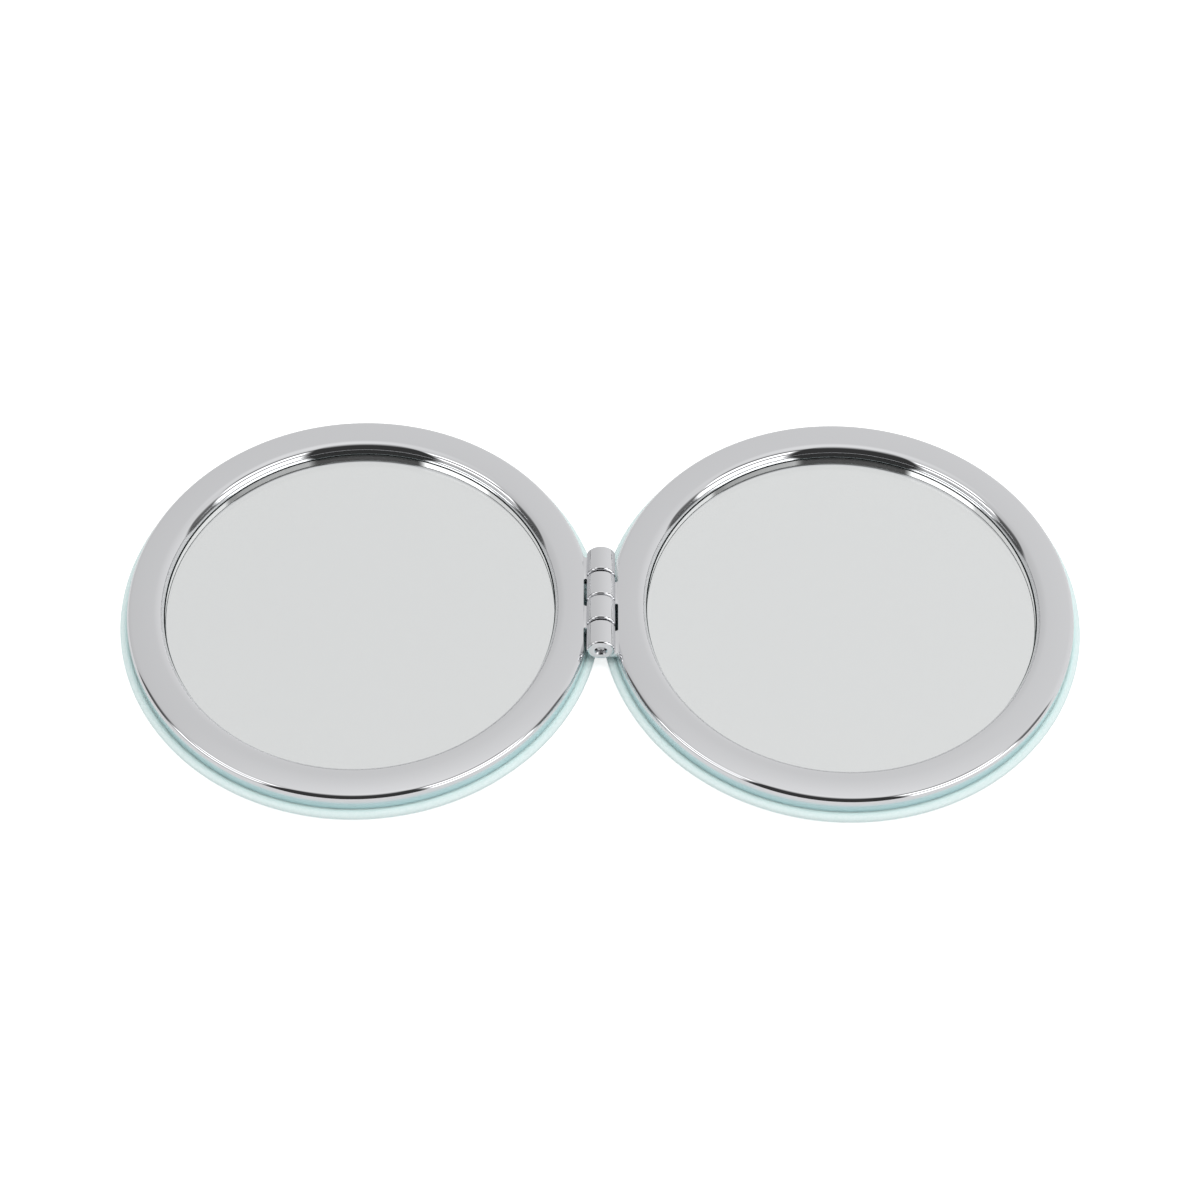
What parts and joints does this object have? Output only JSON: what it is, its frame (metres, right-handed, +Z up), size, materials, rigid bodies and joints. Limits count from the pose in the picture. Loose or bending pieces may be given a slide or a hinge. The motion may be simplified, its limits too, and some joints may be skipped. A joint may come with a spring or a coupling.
{
  "type": "compact mirror",
  "caption": "Round folding pocket mirror: chromed ring frames with recessed glass mirrors and padded leather-look covers, joined edge to edge by an interleaved friction hinge.",
  "frame": {"origin": "on the table, below the middle of the hinge, with the mirror opened flat", "axes": "+X from the hinge towards the lid half, +Y along the hinge towards the rear, +Z up out of the mirrors"},
  "size_m": [0.1402, 0.07, 0.0072],
  "materials": {
    "chrome_frame": "polished",
    "mirror_glass": "polished",
    "foam_tape": "matte",
    "glue_ring": "matte",
    "cover_leather": "satin",
    "cover_foam": "matte",
    "cover_board": "matte",
    "hinge_steel": "satin",
    "spring_steel": "satin"
  },
  "bodies": {
    "base": {"base_frame": "chrome_frame", "base_mirror_glass": "mirror_glass", "base_mirror_tape": "foam_tape", "base_frame_tape": "glue_ring", "base_cover_skin": "cover_leather", "base_cover_foam": "cover_foam", "base_cover_board": "cover_board", "hinge_pin": "hinge_steel", "hinge_spring_washers": "spring_steel"},
    "lid": {"lid_frame": "chrome_frame", "lid_mirror_glass": "mirror_glass", "lid_mirror_tape": "foam_tape", "lid_frame_tape": "glue_ring", "lid_cover_skin": "cover_leather", "lid_cover_foam": "cover_foam", "lid_cover_board": "cover_board"}
  },
  "joints": [
    {"name": "lid_hinge", "type": "hinge", "parent": "base", "child": "lid", "pos_m": [0, 0, 0.0051], "axis": [0, -1, 0], "range_deg": [0, 180]}
  ]
}
